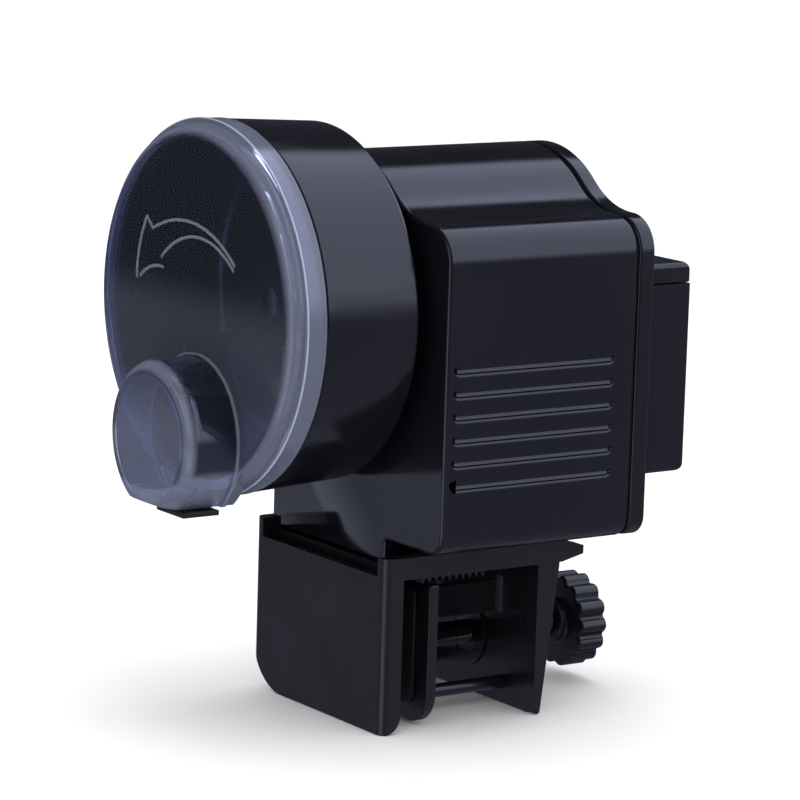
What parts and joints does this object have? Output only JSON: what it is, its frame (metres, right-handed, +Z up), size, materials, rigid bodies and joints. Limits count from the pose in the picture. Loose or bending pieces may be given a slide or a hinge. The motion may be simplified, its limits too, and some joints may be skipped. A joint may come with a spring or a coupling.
{
  "type": "automatic fish feeder",
  "caption": "Battery-driven rotating food drum with a clear lid and side dosing cup, on an upright black housing with a screw clamp for the rim of a tank.",
  "frame": {"origin": "middle of the clamp's rim seat: the underside of the seat pad under the bracket's top plate, half way between the two rubber pads and on the clamp screw's centre plane", "axes": "+Z up, +Y from the food drum towards the battery box and clamp knob, +X towards the grooved side of the housing; the drum's face looks along -Y"},
  "size_m": [0.0937, 0.1292, 0.1463],
  "materials": {
    "gloss_black": "gloss black moulded plastic",
    "drum_black": "gloss black moulded plastic",
    "clear_plastic": "clear moulded polystyrene",
    "gate_black": "satin black plastic",
    "baffle_black": "satin black plastic",
    "clamp_black": "satin black plastic with a fine texture",
    "knob_black": "satin black plastic",
    "seal_rubber": "soft black rubber",
    "pad_rubber": "soft dark rubber",
    "steel": "zinc plated steel",
    "screw_steel": "blackened steel",
    "rod_black": "smooth black acetal",
    "spring_steel": "nickel plated spring steel",
    "plate_steel": "plain steel plate",
    "motor_can": "plated steel can",
    "brass": "turned brass",
    "nylon": "natural nylon",
    "board_green": "solder-masked fibreglass board",
    "chip_black": "moulded component bodies",
    "cell_jacket": "plain printed metal jacket",
    "led_lens": "tinted lens",
    "control_grey": "satin grey plastic",
    "button_red": "satin red plastic"
  },
  "bodies": {
    "housing": {"front_shell": "gloss_black", "rear_cover": "gloss_black", "cover_gasket": "seal_rubber", "case_screws": "steel", "spindle_bush": "brass", "battery_case": "gloss_black", "battery_cells": "cell_jacket", "cell_contacts": "spring_steel", "gear_frame": "plate_steel", "frame_screws": "steel", "idler_arbor": "steel", "gearmotor": "motor_can", "circuit_board": "board_green", "board_parts": "chip_black", "board_screws": "steel", "status_led": "led_lens", "clamp_bracket": "clamp_black", "bracket_screws": "steel", "clamp_nut": "screw_steel", "jaw_pad": "pad_rubber"},
    "output": {"drum_spindle": "steel", "output_gear": "nylon"},
    "drum": {"drum_barrel": "drum_black", "drum_baffle": "baffle_black"},
    "lid": {"drum_lid": "clear_plastic"},
    "gate": {"portion_gate": "gate_black"},
    "idler": {"idler_gear": "nylon"},
    "motor_shaft": {"motor_pinion": "brass"},
    "jaw": {"pressure_plate": "clamp_black", "plate_pad": "pad_rubber", "guide_rods": "rod_black"},
    "screw": {"clamp_screw": "rod_black", "thumb_knob": "knob_black"},
    "door": {"battery_door": "gloss_black"},
    "slider": {"mode_slider": "control_grey"},
    "button": {"feed_button": "button_red"}
  },
  "joints": [
    {"name": "drum_turn", "type": "hinge", "parent": "housing", "child": "output", "pos_m": [-0.0045, 0.0046, 0.065], "axis": [0, -1, 0], "continuous": true},
    {"name": "idler_turn", "type": "hinge", "parent": "housing", "child": "idler", "pos_m": [0.00707, 0.0096, 0.05121], "axis": [0, -1, 0], "continuous": true},
    {"name": "motor_turn", "type": "hinge", "parent": "housing", "child": "motor_shaft", "pos_m": [0.0108, 0.0146, 0.0373], "axis": [0, -1, 0], "continuous": true},
    {"name": "drum_pull_off", "type": "slide", "parent": "output", "child": "drum", "axis": [0, -1, 0], "range_m": [0, 0.03]},
    {"name": "lid_pull_off", "type": "slide", "parent": "drum", "child": "lid", "axis": [0, -1, 0], "range_m": [0, 0.02]},
    {"name": "gate_slide", "type": "slide", "parent": "lid", "child": "gate", "axis": [-1, 0, 0], "range_m": [0, 0.008]},
    {"name": "screw_turn", "type": "hinge", "parent": "jaw", "child": "screw", "pos_m": [0, 0.0346, -0.021], "axis": [0, 1, 0], "range_deg": [-2305, 5761]},
    {"name": "jaw_slide", "type": "slide", "parent": "housing", "child": "jaw", "axis": [0, 1, 0], "range_m": [-0.0064, 0.016]},
    {"name": "battery_door_pull", "type": "slide", "parent": "housing", "child": "door", "axis": [0, 1, 0], "range_m": [0, 0.025]},
    {"name": "mode_slide", "type": "slide", "parent": "housing", "child": "slider", "axis": [1, 0, 0], "range_m": [-0.003, 0.003]},
    {"name": "feed_button_press", "type": "slide", "parent": "housing", "child": "button", "axis": [0, -1, 0], "range_m": [0, 0.001], "stiffness_N_per_m": 600, "springref_m": -0.0005}
  ],
  "couplings": [
    {"joint": "idler_turn", "follows": "drum_turn", "ratio": -4},
    {"joint": "motor_turn", "follows": "drum_turn", "ratio": 12},
    {"joint": "screw_turn", "follows": "jaw_slide", "rad_per_m": 6283.2}
  ]
}
